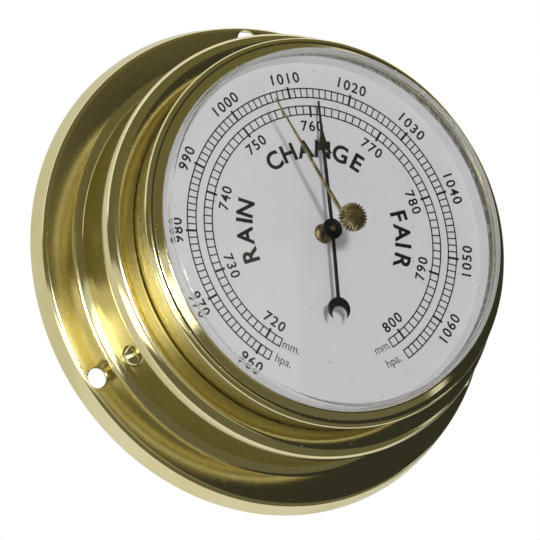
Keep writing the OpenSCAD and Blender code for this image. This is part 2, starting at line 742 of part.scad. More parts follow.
arrow_steps = 8;
function arrow_half(s) = rod_w * 0.3 + (arrow_w / 2 - rod_w * 0.3) * pow(s, 1.8);
module hand_outline_front() {
    front = barb_at + arrow_l;
    left = [for (k = [0 : arrow_steps]) let (s = k / arrow_steps)
        [-arrow_half(s), front - arrow_l * s]];
    right = [for (k = [arrow_steps : -1 : 0]) [-left[k][0], left[k][1]]];
    polygon(concat([[-needle_w / 2, hand_l]], left, [[0, barb_at + 1.3]], right, [[needle_w / 2, hand_l]]));
    translate([-rod_w / 2, 0]) square([rod_w, barb_at + 2]);
}

module hand_outline_tail() {
    translate([-rod_w / 2, -tail_at + crescent_r * 0.6]) square([rod_w, tail_at - crescent_r * 0.6]);
    translate([0, -tail_at]) difference() {
        circle(r = crescent_r);
        translate([0, -crescent_r * 0.48]) circle(r = crescent_r * 0.7);
    }
}

module pressure_hand() color("#161616") placed() rotate([0, 0, -hand_angle]) difference() {
    droop = atan(hand_droop / hand_l);
    reach = hand_l + 5;
    translate([0, 0, dial_h + hub_up]) union() {
        intersection() {
            rotate([-droop, 0, 0]) linear_extrude(hand_t) hand_outline_front();
            translate([-arrow_w, 0, -reach]) cube([2 * arrow_w, reach, 2 * reach]);
        }
        linear_extrude(hand_t) hand_outline_tail();
        rod(hub_r, 0, hand_t);
        rod(1.4, -2, eps);
    }
    rod(pivot_r, dial_h - 5, hub_top + 5);
}

// upright side, rounded shoulder and dome, all tangent
module dome_2d(side, corner, radius) {
    corner_x = side - corner;
    rise = sqrt(pow(radius - corner, 2) - corner_x * corner_x);
    corner_z = dome_c + rise;
    reach = (radius + 1) / (radius - corner);
    band(0, side, foot_base - 1, corner_z);
    translate([corner_x, corner_z]) circle(r = corner);
    intersection() {
        translate([0, dome_c]) circle(r = radius, $fn = 360);
        polygon([[0, foot_base], [corner_x, foot_base], [corner_x, corner_z],
            [corner_x * reach, dome_c + rise * reach], [0, dome_top + 1]]);
    }
}

module crystal() color("lightcyan", 0.35) placed() difference() {
    rotate_extrude() difference() {
        union() {
            dome_2d(crystal_r, shoulder_round, dome_r);
            band(0, seat_r, foot_base, foot_top);
        }
        dome_2d(crystal_r - crystal_wall, shoulder_in, dome_r - crystal_t);
        band(-1, seat_r + 1, foot_base - 2, foot_base);
        band(-seat_r, 0, 0, dome_top + 1);
    }
    rod(set_bush_r, crystal_in - 2, dome_top + 2);
}

// bead, cone up to the lip, and the pockets for case and crystal
module bezel() color(brass) placed() rotate_extrude() difference() {
    union() {
        translate([bezel_r - bezel_bead, bead_c]) circle(r = bezel_bead);
        polygon([[lip_r, foot_base], [bezel_r - bezel_bead, bead_c - bezel_bead],
            [bezel_r - bezel_bead - 0.3, bead_c + bezel_bead * 0.88], [lip_r + 0.6, lip_top - 0.06],
            [lip_r + 0.3, lip_top], [lip_r, lip_top - 0.3]]);
    }
    band(0, case_r + 0.05, bead_c - bezel_bead - 1, case_front + 0.1);
    band(0, seat_r + 0.05, bead_c - bezel_bead - 1, foot_top);
}

module set_bush() color(brass) placed() difference() {
    union() {
        rod(set_bush_r, crystal_in - 0.1, dome_top + 0.1);
        rod(set_bush_r + bush_brim, dome_top, dome_top + brim_t);
    }
    rod(set_arbor_r + pivot_play, crystal_in - 1, dome_top + 2);
}

// bowed washer that gives the set hand its friction
module set_washer() color(steel) placed()
    tube(set_arbor_r + 0.02, set_bush_r + 0.5, set_top, set_top + washer_t);

module set_hand() color(brass) placed() rotate([0, 0, set_angle]) difference() {
    slope = atan(set_droop / set_l);
    half = set_w / 2;
    edge = set_t * 0.5;
    union() {
        rod(set_bush_r + 0.1, set_top - set_t, set_top);
        translate([0, 0, set_top - set_t]) rotate([-slope, 0, 0]) intersection() {
            linear_extrude(set_t)
                polygon([[-half, 0], [half, 0], [set_tip_w / 2, set_l], [-set_tip_w / 2, set_l]]);
            rotate([-90, 0, 0]) linear_extrude(set_l)
                polygon([[-half, 0], [-half, -edge], [0, -set_t], [half, -edge], [half, 0]]);
        }
    }
    rod(set_arbor_r, set_top - 2, set_top + 1);
}

module set_knob() color(brass) placed() {
    low = dome_top + brim_t + knob_gap;
    translate([0, 0, low]) linear_extrude(knob_h) difference() {
        circle(r = knob_r);
        for (k = [0 : knob_teeth - 1]) rotate(360 * k / knob_teeth) translate([knob_r + 0.12, 0])
            rotate(45) square(PI * knob_r / knob_teeth * 0.78, center = true);
    }
    rod(set_arbor_r, set_top - set_t - 0.15, low + eps);
}

// from heights above the wall to the part's own frame: the dial faces the front, twelve is up
module placed() rotate([90, 0, 0]) translate([0, 0, -flange_h]) children();

wall_ring();
bayonet_pins();
case();
movement_feet();
movement_screws();
base_plate();
pillars();
bridge();
top_plate();
plate_spacers();
plate_screws();
leaf_block();
leaf_screws();
capsule_leaf();
capsule_lower();
capsule_upper();
capsule_stud();
setting_screw();
rocker_brackets();
rocking_shaft();
sector_gear();
sector_arbor();
hand_arbor();
hairspring();
hairspring_stud();
centre_bush();
dial_seat();
dial();
spacer_ring();
gasket();
pressure_hand();
crystal();
bezel();
set_bush();
set_washer();
set_hand();
set_knob();
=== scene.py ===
from math import asin, atan2, cos, degrees, pi, radians, sin, sqrt, tan
import bmesh
import bpy
from mathutils import Matrix, Vector


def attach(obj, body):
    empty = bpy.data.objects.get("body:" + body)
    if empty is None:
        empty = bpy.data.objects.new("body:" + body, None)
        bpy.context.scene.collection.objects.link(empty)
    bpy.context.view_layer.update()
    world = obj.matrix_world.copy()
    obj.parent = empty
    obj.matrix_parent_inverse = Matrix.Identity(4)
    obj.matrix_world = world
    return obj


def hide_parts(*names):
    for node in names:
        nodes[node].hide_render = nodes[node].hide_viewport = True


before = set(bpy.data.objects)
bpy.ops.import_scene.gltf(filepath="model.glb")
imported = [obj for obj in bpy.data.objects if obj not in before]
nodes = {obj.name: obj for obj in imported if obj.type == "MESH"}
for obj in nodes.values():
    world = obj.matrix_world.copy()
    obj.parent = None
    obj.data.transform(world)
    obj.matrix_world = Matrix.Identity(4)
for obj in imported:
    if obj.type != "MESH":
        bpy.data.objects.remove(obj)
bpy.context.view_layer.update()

scene = bpy.context.scene

# everything is drawn in millimetres with the wall at height 0, then laid in the part's own frame
mm = 0.001
wallToFlange = 5.5
toWall = Matrix(((mm, 0, 0, 0), (0, 0, -mm, mm * wallToFlange), (0, mm, 0, 0), (0, 0, 0, 1)))


# camera
camera = {
    "at": (-0.449782, -0.840686, -0.226556),
    "turn": (103.34661, 6.01434, -26.69375),
    "lens": 260,
    "sensor": 36,
    "nearest": 0.01,
    "farthest": 20,
}
eye = bpy.data.objects.new("camera", bpy.data.cameras.new("camera"))
eye.data.lens = camera["lens"]
eye.data.sensor_width = camera["sensor"]
eye.data.clip_start = camera["nearest"]
eye.data.clip_end = camera["farthest"]
eye.location = camera["at"]
eye.rotation_euler = [radians(a) for a in camera["turn"]]
scene.collection.objects.link(eye)
scene.camera = eye
print("camera set")


# shader tools
class Wire:        # a socket that takes + * /, and makes any other node from there
    def __init__(self, tree, socket=None):
        self.tree, self.socket = tree, socket

    def node(self, kind, settings={}, sockets={}, out=0):
        made = self.tree.nodes.new("ShaderNode" + kind)
        for name, value in settings.items():
            setattr(made, name, value)
        for name, value in sockets.items():
            if isinstance(value, Wire):
                self.tree.links.new(value.socket, made.inputs[name])
            else:
                made.inputs[name].default_value = value
        return Wire(self.tree, made.outputs[out])

    def maths(self, operation, first, second):
        return self.node("Math", {"operation": operation}, {0: first, 1: second})

    def __add__(self, other):
        return self.maths("ADD", self, other)

    def __radd__(self, other):
        return self.maths("ADD", other, self)

    def __mul__(self, other):
        return self.maths("MULTIPLY", self, other)

    def __rmul__(self, other):
        return self.maths("MULTIPLY", other, self)

    def __truediv__(self, other):
        return self.maths("DIVIDE", self, other)

    def __rtruediv__(self, other):
        return self.maths("DIVIDE", other, self)

    def step(self, low, high):        # 0 below low, 1 above high, smooth between
        return self.node("MapRange", {"interpolation_type": "SMOOTHSTEP"}, {0: self, 1: low, 2: high})

    def blend(self, first, second):        # colours mixed by this value
        return self.node("Mix", {"data_type": "RGBA"}, {0: self, 6: first, 7: second}, 2)

    def split(self):
        return [self.node("SeparateXYZ", {}, {0: self}, k) for k in range(3)]

    def noise(self, scale, detail=2.0, rough=0.5):
        sockets = {"Vector": self, "Scale": scale, "Detail": detail, "Roughness": rough}
        return self.node("TexNoise", {}, sockets)


def rgb(red, green, blue):
    return (red, green, blue, 1)


latheClimb = 1.3        # how far height counts as radius, so that upright walls get turned lines too


class Finish:        # a material under way: its place in mm, its shader and its output
    def __init__(self, name, **values):
        self.material = bpy.data.materials.new(name)
        self.material.use_nodes = True
        tree = self.material.node_tree
        self.shader = next(n for n in tree.nodes if n.type == "BSDF_PRINCIPLED")
        self.output = next(n for n in tree.nodes if n.type == "OUTPUT_MATERIAL")
        self.wire = Wire(tree)
        place = self.wire.node("TexCoord", {}, {}, 3)
        self.place = self.wire.node("VectorMath", {"operation": "SCALE"}, {0: place, "Scale": 1 / mm})
        for name, value in values.items():
            self.shader.inputs[name].default_value = value

    def feed(self, name, value):
        self.wire.tree.links.new(value.socket, self.shader.inputs[name])

    def bump(self, height, strength, distance):
        made = self.wire.node("Bump", {}, {"Strength": strength, "Distance": distance, "Height": height})
        self.feed("Normal", made)

    def stretched(self, turn, scale):        # the place turned, then pulled along one way
        turned = self.wire.node("Mapping", {}, {0: self.place, 2: [radians(a) for a in turn]})
        return self.wire.node("Mapping", {}, {0: turned, 3: scale})

    def lathe(self, around, across):        # fine lines that run round the dial's axis
        x, y, z = self.place.split()
        level = self.wire.node("CombineXYZ", {}, {0: x, 2: z})
        radius = self.wire.node("VectorMath", {"operation": "LENGTH"}, {0: level}, 1)
        line = (radius + y * latheClimb) * across
        return self.wire.node("CombineXYZ", {}, {0: x / radius * around, 1: line, 2: z / radius * around})


def brass(name, look):
    f = Finish(name, Metallic=1.0)
    cloud = f.place.noise(look["cloud"], 4, 0.55).step(0.35, 0.7)
    fine = f.place.noise(0.9, 3, 0.6)
    hairs = f.stretched(look["way"], (0.12, 5.0, 5.0)).noise(1.0, 4, 0.65)
    cross = f.stretched(look["crossWay"], (0.1, 7.0, 7.0)).noise(1.0, 3, 0.6)
    rings = f.lathe(3.0, look["rings"]).noise(1.0, 3, 0.6)
    dust = f.place.noise(1.7, 1, 0.4).step(0.735, 0.79)
    tone = cloud.blend(look["light"], look["deep"])
    tone = (hairs.step(0.5, 0.75) * look["hairs"]).blend(tone, look["bright"])
    f.feed("Base Color", (dust * look["dust"]).blend(tone, look["dustTone"]))
    rough = look["rough"] + cloud * look["unevenRough"] + fine * look["unevenRough"]
    f.feed("Roughness", rough + dust * look["dustRough"] + rings * look["ringRough"])
    lines = hairs * look["hairs"] + cross * look["hairs"] * look["crossShare"]
    f.bump(lines + rings * look["ringDepth"] + dust * look["dustDepth"], 1.0, look["depth"])
    return f.material


polish = {
    "light": rgb(0.86, 0.785, 0.465),
    "deep": rgb(0.80, 0.72, 0.385),
    "bright": rgb(0.92, 0.84, 0.56),
    "dustTone": rgb(0.74, 0.68, 0.42),
    "cloud": 0.055,
    "way": (0, 35, 62),        # how the two sets of hair lines are turned, in degrees
    "crossWay": (20, 70, 35),
    "hairs": 0.6,
    "crossShare": 0.6,
    "rings": 2.5,
    "ringRough": 0.03,
    "ringDepth": 0.25,
    "dust": 0.5,
    "dustRough": 0.2,
    "dustDepth": 0.6,
    "rough": 0.06,
    "unevenRough": 0.03,
    "depth": 0.000012,
}
satin = dict(polish, rough=0.2, hairs=0.8, rings=4.0, ringRough=0.1, ringDepth=1.2, depth=0.00003)
dull = dict(satin, light=rgb(0.66, 0.52, 0.26), deep=rgb(0.5, 0.37, 0.17), rough=0.3, cloud=0.09)
aged = dict(satin, light=rgb(0.40, 0.34, 0.17), deep=rgb(0.13, 0.115, 0.06), bright=rgb(0.70, 0.57, 0.30),
    cloud=0.55, rings=2.0, ringDepth=0.3, dust=1.0, rough=0.24, depth=0.00001)
bronzed = dict(aged, light=rgb(0.31, 0.23, 0.12), deep=rgb(0.14, 0.10, 0.05), bright=rgb(0.46, 0.35, 0.18))
finishes = {
    "polishedBrass": brass("polishedBrass", polish),
    "agedBrass": brass("agedBrass", aged),
    "bronzedBrass": brass("bronzedBrass", bronzed),
    "brushedBrass": brass("brushedBrass", satin),
    "movementBrass": brass("movementBrass", dull),
}


def greyMetal(name, look):
    f = Finish(name, Metallic=1.0)
    cloud = f.place.noise(0.25, 4, 0.6)
    rings = f.lathe(2.0, look["rings"]).noise(1.0, 2, 0.6)
    f.feed("Base Color", cloud.blend(look["light"], look["deep"]))
    f.feed("Roughness", look["rough"] + cloud * look["cloudRough"] + rings * look["ringRough"])
    f.bump(rings + f.place.noise(6.0, 2) * look["grain"], 1.0, look["depth"])
    return f.material


steel = {
    "light": rgb(0.56, 0.57, 0.58),
    "deep": rgb(0.42, 0.42, 0.43),
    "rings": 9.0,
    "rough": 0.18,
    "cloudRough": 0.12,
    "ringRough": 0.08,
    "grain": 0.5,
    "depth": 0.00001,
}
nickel = dict(steel, light=rgb(0.72, 0.70, 0.66), deep=rgb(0.60, 0.58, 0.54), rings=5.0, rough=0.14)
finishes["turnedSteel"] = greyMetal("turnedSteel", steel)
finishes["nickelPlate"] = greyMetal("nickelPlate", nickel)


def paint(name, look):        # flat lacquer with a fine grain, faint mottling and specks
    f = Finish(name, **{"Specular IOR Level": look["shine"]})
    grain = f.place.noise(14.0, 2, 0.6)
    mottle = f.place.noise(0.12, 3, 0.5)
    speck = f.place.noise(1.1, 0, 0.5).step(0.80, 0.82)
    tone = (grain * 0.5 + mottle * 0.5).blend(look["deep"], look["light"])
    f.feed("Base Color", (speck * look["specks"]).blend(tone, look["speck"]))
    f.feed("Roughness", look["rough"] + grain * look["grainRough"])
    f.bump(grain, 1.0, look["depth"])
    return f.material


dialLook = {
    "light": rgb(0.60, 0.60, 0.615),
    "deep": rgb(0.545, 0.545, 0.56),
    "speck": rgb(0.36, 0.30, 0.24),
    "specks": 0.8,
    "rough": 0.55,
    "grainRough": 0.08,
    "shine": 0.3,
    "depth": 0.000006,
}
paints = {
    "dialLacquer": dialLook,
    # the spacer's lacquer is painted paler than the dial's: painted light that makes up for the shade on its
    # inner wall
    "spacerLacquerPaintedLighter": dict(dialLook, light=rgb(0.76, 0.76, 0.77), deep=rgb(0.68, 0.68, 0.69),
        speck=rgb(0.4, 0.4, 0.4), specks=0.3, rough=0.4, shine=0.4, depth=0.000004),
    "dialInk": dict(dialLook, light=rgb(0.005, 0.005, 0.006), deep=rgb(0.003, 0.003, 0.0035),
        speck=rgb(0.03, 0.03, 0.03), specks=0.3, rough=0.5, shine=0.15, depth=0.000004),
    "handBlack": dict(dialLook, light=rgb(0.005, 0.005, 0.006), deep=rgb(0.003, 0.003, 0.004),
        speck=rgb(0.05, 0.05, 0.05), specks=0.4, rough=0.3, shine=0.25, depth=0.000005),
    "gasketRubber": dict(dialLook, light=rgb(0.46, 0.46, 0.45), deep=rgb(0.36, 0.36, 0.35),
        speck=rgb(0.25, 0.25, 0.25), specks=0.5, rough=0.6, shine=0.4, depth=0.00001),
}
for name, look in paints.items():
    finishes[name] = paint(name, look)


def glass(name, look):        # clear to shadows and soft light, so that the dial behind it is lit
    f = Finish(name, **{"Base Color": rgb(1, 1, 1), "Transmission Weight": 1.0, "IOR": look["index"]})
    smear = f.place.noise(0.07, 3, 0.6).step(0.45, 0.75)
    dust = f.place.noise(2.3, 1, 0.4).step(0.80, 0.84)
    f.feed("Roughness", smear * look["smearRough"] + dust * look["dustRough"])
    f.bump(f.place.noise(0.05, 2, 0.5), look["wave"], look["depth"])
    shadow, soft = (f.wire.node("LightPath", {}, {}, k) for k in ("Is Shadow Ray", "Is Diffuse Ray"))
    clear = f.wire.node("BsdfTransparent", {}, {"Color": look["through"]})
    solid = Wire(f.wire.tree, f.shader.outputs[0])
    mixed = f.wire.node("MixShader", {}, {0: shadow.maths("MAXIMUM", shadow, soft), 1: solid, 2: clear})
    f.wire.tree.links.new(mixed.socket, f.output.inputs["Surface"])
    return f.material


crystalLook = {
    "index": 1.5,
    "through": rgb(0.96, 0.96, 0.96),
    "smearRough": 0.012,
    "dustRough": 0.25,
    "wave": 0.4,
    "depth": 0.00002,
}
finishes["crystalGlass"] = glass("crystalGlass", crystalLook)
print("finishes made:", len(finishes))


# mesh tools
weld = 0.0008        # points nearer than this become one
cornerStep = 7.5        # degrees in one segment of a rounded corner


def merged(bm, near=weld):
    bmesh.ops.remove_doubles(bm, verts=bm.verts, dist=near)
    bmesh.ops.recalc_face_normals(bm, faces=bm.faces)


# a closed line through (radius, height) corners: a third number rounds one, a fourth sets that round's step
def profile(corners):
    bm = bmesh.new()
    verts = [bm.verts.new((c[0], 0, c[1])) for c in corners]
    for pair in zip(verts, verts[1:] + verts[:1]):
        bm.edges.new(pair)
    for k, (vert, corner) in enumerate(zip(verts, corners)):
        if len(corner) < 3:
            continue
        before, after = corners[k - 1], corners[(k + 1) % len(corners)]
        a = Vector((corner[0] - before[0], corner[1] - before[1]))
        b = Vector((after[0] - corner[0], after[1] - corner[1]))
        turn = a.angle(b)
        step = corner[3] if len(corner) > 3 else cornerStep
        bmesh.ops.bevel(bm, geom=[vert], offset=corner[2] * tan(turn / 2), offset_type="OFFSET",
            affect="VERTICES", segments=max(3, int(degrees(turn) / step)), profile=0.5, material=-1,
            clamp_overlap=False)
    bmesh.ops.remove_doubles(bm, verts=bm.verts, dist=weld)
    return bm


def turned(corners, steps):        # a profile spun round the axis
    bm = profile(corners)
    bmesh.ops.spin(bm, geom=bm.verts[:] + bm.edges[:], cent=(0, 0, 0), axis=(0, 0, 1), angle=2 * pi,
        steps=steps, use_merge=True)
    merged(bm)
    return bm


def piece(name, bm, body, finish, stands=(), sharp=34):        # edges bent more than sharp stay crisp
    for face in bm.faces:
        face.smooth = True
    for edge in bm.edges:
        edge.smooth = len(edge.link_faces) == 2 and edge.calc_face_angle(pi) < radians(sharp)
    mesh = bpy.data.meshes.new(name)
    bm.to_mesh(mesh)
    bm.free()
    mesh.transform(toWall)
    made = bpy.data.objects.new(name, mesh)
    scene.collection.objects.link(made)
    mesh.materials.append(finishes[finish])
    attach(made, body)
    if stands:
        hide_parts(*stands)


def absorb(bm, other, place=Matrix.Identity(4)):        # adds another bmesh, moved
    mesh = bpy.data.meshes.new("spare")
    other.to_mesh(mesh)
    other.free()
    mesh.transform(place)
    bm.from_mesh(mesh)
    bpy.data.meshes.remove(mesh)


def cutAway(bm, cutter):        # the solid less the cutter, both as bmeshes
    things = []
    for name, part in (("solid", bm), ("cutter", cutter)):
        mesh = bpy.data.meshes.new(name)
        part.to_mesh(mesh)
        part.free()
        things.append(bpy.data.objects.new(name, mesh))
        scene.collection.objects.link(things[-1])
    cut = things[0].modifiers.new("cut", "BOOLEAN")
    cut.operation = "DIFFERENCE"
    cut.solver = "EXACT"
    cut.object = things[1]
    result = bpy.data.meshes.new_from_object(things[0].evaluated_get(bpy.context.evaluated_depsgraph_get()))
    made = bmesh.new()
    made.from_mesh(result)
    for thing in things:
        bpy.data.objects.remove(thing)
    return made


def upright(angle, radius):        # stands an upright thing at an angle from +x, at a radius
    return Matrix.Rotation(radians(angle), 4, "Z") @ Matrix.Translation((radius, 0, 0))


def spun(bm, angle, axis):        # turns a whole bmesh about its origin, in radians
    bmesh.ops.rotate(bm, cent=(0, 0, 0), matrix=Matrix.Rotation(angle, 3, axis), verts=bm.verts)


def chamfered(bm, edges, size):        # breaks a few edges
    bmesh.ops.bevel(bm, geom=edges, offset=size, offset_type="OFFSET", affect="EDGES", segments=2,
        profile=0.5, material=-1, clamp_overlap=True)


# wall ring
ring = {
    "wallR": 52.0, "rimR": 63.5, "flangeH": 5.5, "lean": 1.5, "rimRound": 1.2, "rimEdge": 0.18,
    "footRound": 2.85, "beadR": 54.3, "beadFoot": 20.4, "beadBack": 2.0, "beadFront": 2.6,
    "beadCorner": 0.25, "frontH": 26.9, "collarR": 47.5, "collarDepth": 4.5, "collarRound": 1.2,
    "collarEdge": 0.15, "sheet": 0.9, "inCorner": 0.3, "holes": 3, "firstHole": 90, "holeAt": 59.0,
    "holeR": 2.5, "chamfer": 0.22,
}


def wallRing():
    r = ring
    t = r["sheet"]
    lean = r["lean"] / r["flangeH"]
    back = t * sqrt(1 + lean * lean)
    rim, wall, bead, collar = r["rimR"], r["wallR"], r["beadR"], r["collarR"]
    flange, foot, front = r["flangeH"], r["beadFoot"], r["frontH"]
    low = front - r["collarDepth"]
    outer = [(rim, 0, r["rimEdge"]), (rim - r["lean"], flange, r["rimRound"]),
        (wall, flange, r["footRound"]), (wall, foot, r["beadCorner"]),
        (bead, foot, r["beadBack"]), (bead, front, r["beadFront"]),
        (collar, front, r["collarRound"]), (collar, low, r["collarEdge"])]
    inner = [(collar + t, low, r["collarEdge"]), (collar + t, front - t),
        (bead - t, front - t, r["beadFront"] - t), (bead - t, foot + t, r["beadBack"] - t),
        (wall - t, foot + t), (wall - t, flange - t, r["footRound"] + t),
        (rim - r["lean"] - back + lean * t, flange - t, r["inCorner"]), (rim - back, 0, r["rimEdge"])]
    bm = turned(outer + inner, steps=288)
    cutter = bmesh.new()
    hole, wide = r["holeR"], r["holeR"] + r["chamfer"]
    under, over, spare = 3, 2, 0.05        # how far the cutter reaches past the flange and the chamfer
    drill = [(0, flange - under), (hole, flange - under), (hole, flange - r["chamfer"]),
        (wide + spare, flange + spare), (wide + spare, flange + over), (0, flange + over)]
    for k in range(r["holes"]):
        absorb(cutter, turned(drill, steps=64), upright(r["firstHole"] + 360 * k / r["holes"], r["holeAt"]))
    return cutAway(bm, cutter)


piece("wallRing", wallRing(), "ring", "polishedBrass", ["wall_ring"])

pin = {
    "count": 3, "first": 90, "at": 52.0, "height": 13.5, "headR": 2.9, "headH": 2.55, "headStep": 5,
    "rim": 0.02, "rimRound": 0.12, "rimIn": 0.1, "neck": 0.25, "shankR": 1.5, "collarFrom": 1.05,
    "collarTo": 2.0, "collarRound": 0.1, "endRound": 0.2, "caseR": 46.2,
}


def pins():
    p = pin
    head, shank, high = p["headR"], p["shankR"], p["headH"]
    dome = (head ** 2 + high ** 2) / (2 * high)
    rise = dome * tan(asin(head / dome) / 2)
    foot = p["caseR"] - p["at"]
    outline = [(0, high), (rise, high, dome, p["headStep"]), (head, -p["rim"], p["rimRound"]),
        (head - p["rimIn"], -p["neck"]), (shank, -p["neck"]), (shank, -p["collarFrom"]),
        (head, -p["collarFrom"], p["collarRound"]), (head, -p["collarTo"], p["collarRound"]),
        (shank, -p["collarTo"]), (shank, foot, p["endRound"]), (0, foot)]
    bm = bmesh.new()
    for k in range(p["count"]):
        stand = upright(p["first"] + 360 * k / p["count"], p["at"]) @ Matrix.Translation((0, 0, p["height"]))
        absorb(bm, turned(outline, steps=48), stand @ Matrix.Rotation(pi / 2, 4, "Y"))
    merged(bm)
    return bm


piece("bayonetPins", pins(), "ring", "polishedBrass", ["bayonet_pins"])
print("wall ring and pins made")

# bezel and crystal
bezel = {
    "caseR": 47.45, "beadR": 49.4, "beadLow": 35.2, "beadHigh": 37.8, "beadRound": 1.3, "edge": 0.2,
    "coneIn": 1.75, "coneDrop": 0.12, "coneRound": 0.3, "lipR": 45.6, "lipH": 39.0, "lipWide": 0.55,
    "lipDrop": 0.06, "lipFlat": 0.2, "lipEdge": 0.3, "gasketH": 36.95, "crystalH": 38.45, "pocketR": 46.35,
}


def bezelRing():
    b = bezel
    bead, lip = b["beadR"], b["lipR"]
    return turned([(b["caseR"], b["beadLow"], b["edge"]), (bead, b["beadLow"], b["beadRound"]),
        (bead, b["beadHigh"], b["beadRound"]),
        (bead - b["coneIn"], b["beadHigh"] - b["coneDrop"], b["coneRound"]),
        (lip + b["lipWide"], b["lipH"] - b["lipDrop"], 0.25), (lip + b["lipFlat"], b["lipH"], 0.12),
        (lip, b["lipH"] - b["lipEdge"], 0.12), (lip, b["crystalH"], 0.08), (b["pocketR"], b["crystalH"]),
        (b["pocketR"], b["gasketH"]), (b["caseR"], b["gasketH"])], steps=288)


piece("bezelRing", bezelRing(), "instrument", "polishedBrass", ["bezel"])

dome = {
    "sideR": 45.3, "top": 48.2, "radius": 179.3, "thick": 1.8, "wall": 1.1, "shoulder": 0.6,
    "shoulderIn": 0.3, "shoulderStep": 4, "domeStep": 0.45, "footR": 46.3, "footLow": 37.3,
    "footHigh": 38.4, "edge": 0.1, "footCorner": 0.15, "holeR": 1.56,
}


def domeLine(side, corner, radius):        # the shoulder's and the dome's corners, from the side inwards
    centre = dome["top"] - dome["radius"]
    turn = asin((side - corner) / (radius - corner))
    edgeH = centre + radius * cos(turn) - (side - radius * sin(turn)) * tan(turn)
    return [(side, edgeH, corner, dome["shoulderStep"]),
        (radius * tan(turn / 2), centre + radius, radius, dome["domeStep"])]


def crystalDome():
    d = dome
    within = d["sideR"] - d["wall"]
    outside = domeLine(d["sideR"], d["shoulder"], d["radius"])
    inside = domeLine(within, d["shoulderIn"], d["radius"] - d["thick"])
    return turned([(d["footR"], d["footLow"], d["edge"]), (d["footR"], d["footHigh"], d["edge"]),
        (d["sideR"], d["footHigh"], d["footCorner"]), *outside, (d["holeR"], d["top"]),
        (d["holeR"], d["top"] - d["thick"]), *reversed(inside), (within, d["footLow"], d["edge"])], steps=288)


piece("crystalDome", crystalDome(), "instrument", "crystalGlass", ["crystal"])
print("bezel and crystal made")

# dial, spacer and bush
face = {
    "height": 33.8, "thick": 0.8, "holeR": 2.5, "edgeR": 46.3, "edge": 0.08,
    "spacerR": 43.5, "spacerTop": 36.8, "flare": 0.7, "spacerEdge": 0.12,
    "lift": 0.002,        # keeps faces that touch out of one plane
}


def dialPlate():
    f = face
    low = f["height"] - f["thick"]
    return turned([(f["holeR"], low), (f["edgeR"], low), (f["edgeR"], f["height"], f["edge"]),
        (f["holeR"], f["height"], f["edge"])], steps=192)


def spacerRing():
    f = face
    foot = f["height"] + f["lift"]
    return turned([(f["spacerR"], foot), (f["edgeR"], foot), (f["edgeR"], f["spacerTop"]),
        (f["spacerR"] + f["flare"], f["spacerTop"], f["spacerEdge"])], steps=256)


piece("dialPlate", dialPlate(), "instrument", "dialLacquer", ["dial"])
piece("spacerRing", spacerRing(), "instrument", "spacerLacquerPaintedLighter", ["spacer_ring"])

bush = {
    "radius": 2.35, "foot": 31.4, "rim": 33.9, "crown": 34.6, "bore": 0.64, "neckIn": 0.5, "neckH": 1.4,
    "rimRound": 0.12, "crownShare": 0.55, "crownDrop": 0.08, "crownRound": 2.5, "crownStep": 4,
    "boreIn": 0.12, "boreDrop": 0.15, "lipDrop": 0.02, "lipRound": 0.1,
}


def centreBush():
    b = bush
    neck, shelf = b["radius"] - b["neckIn"], b["foot"] + b["neckH"]
    return turned([(b["bore"], b["foot"]), (neck, b["foot"]), (neck, shelf), (b["radius"], shelf),
        (b["radius"], b["rim"], b["rimRound"]),
        (b["radius"] * b["crownShare"], b["crown"] - b["crownDrop"], b["crownRound"], b["crownStep"]),
        (b["bore"] + b["boreIn"], b["crown"] - b["lipDrop"], b["lipRound"]),
        (b["bore"], b["crown"] - b["boreDrop"])], steps=96)


piece("centreBush", centreBush(), "instrument", "bronzedBrass", ["centre_bush"])
print("dial, spacer and bush made")

# what is printed on the dial: values in each scale's own unit, angles in degrees from the top
printed = {
    "low": 33.795, "high": 33.83, "tick": 0.31, "bold": 0.58, "bandLine": 0.33, "bandStep": 1.8,
    "pascal": {"from": 958, "to": 1068, "each": 2.70023, "zero": 1013.25, "inner": 34.62, "outer": 36.93,
        "reach": 0.6, "numbersR": 39.8, "size": 2.72, "side": 1},
    "mercury": {"from": 718, "to": 802, "each": 3.6, "zero": 760, "inner": 30.28, "outer": 32.45,
        "reach": 0.7, "numbersR": 27.4, "size": 2.65, "side": -1},
    "numberEach": 10,
    "numberWeight": 0.07,
    "numberSpace": 1.2,
    "words": [("CHANGE", 21.65, (-32.4, -20.0, -7.2, 5.9, 19.0, 32.2)),
        ("RAIN", 21.8, (-105.2, -92.4, -82.3, -73.8)), ("FAIR", 22.1, (77.6, 88.4, 97.1, 108.1))],
    "wordSize": 4.5,
    "wordWeight": 0.17,
    "units": [("mm.", -156.6, 31.4), ("hpa.", -155.0, 35.5), ("mm.", 156.2, 31.4), ("hpa.", 154.4, 35.6)],
    "unitSize": 2.3,
    "unitWeight": -0.01,
    "unitWide": 0.9,
    "capital": 0.73,        # a capital's height in a font of size 1
    "curveSteps": 6,
    "joinWithin": 0.0001,
}
inkThick = printed["high"] - printed["low"]
inkMiddle = (printed["high"] + printed["low"]) / 2


def bar(bm, angle, inner, outer, wide):        # a straight stroke along a radius
    made = bmesh.ops.create_cube(bm, size=1.0)["verts"]
    bmesh.ops.scale(bm, vec=(wide, outer - inner, inkThick), verts=made)
    bmesh.ops.translate(bm, vec=(0, (inner + outer) / 2, inkMiddle), verts=made)
    bmesh.ops.rotate(bm, cent=(0, 0, 0), matrix=Matrix.Rotation(-radians(angle), 3, "Z"), verts=made)


